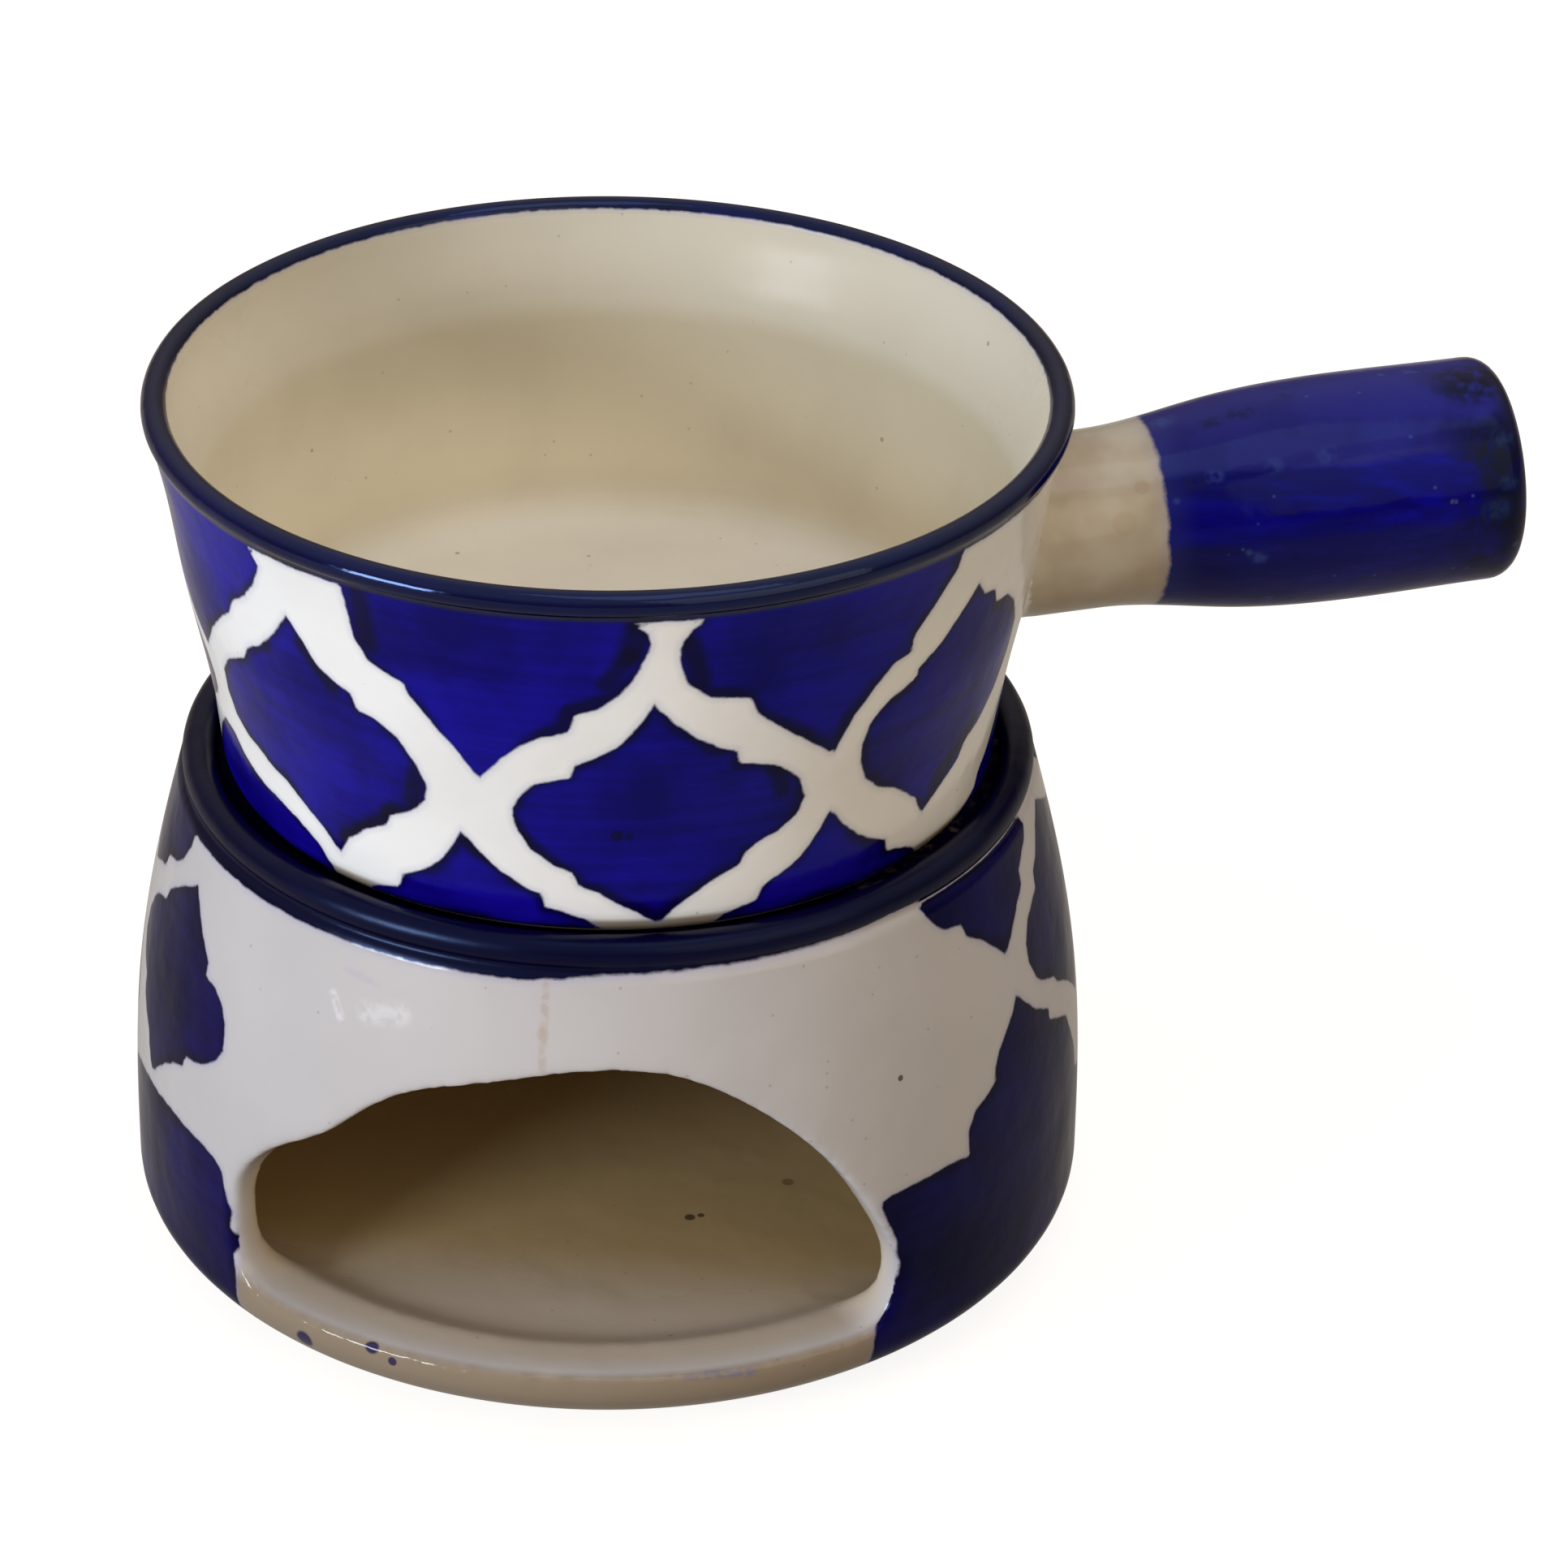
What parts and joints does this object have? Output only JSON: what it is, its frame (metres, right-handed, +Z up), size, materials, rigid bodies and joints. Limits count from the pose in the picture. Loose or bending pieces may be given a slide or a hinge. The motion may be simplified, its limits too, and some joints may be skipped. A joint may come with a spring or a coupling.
{
  "type": "ceramic fondue set",
  "caption": "Small glazed bowl with a stub handle, seated in the rolled rim of a round burner stand with a hand-cut arch; white trellis on cobalt.",
  "frame": {"origin": "middle of the burner stand's flat base, on the surface it stands on", "axes": "+Z up; the stand's arch faces -Y; the bowl's handle points mostly along +X, turned 17 degrees towards +Y"},
  "size_m": [0.1691, 0.1184, 0.1126],
  "materials": {
    "stand_glaze": "gloss glaze over cobalt painting on white",
    "bowl_glaze": "gloss glaze over cobalt painting on white"
  },
  "bodies": {
    "root": {"burner_stand": "stand_glaze", "fondue_bowl": "bowl_glaze"}
  },
  "joints": []
}
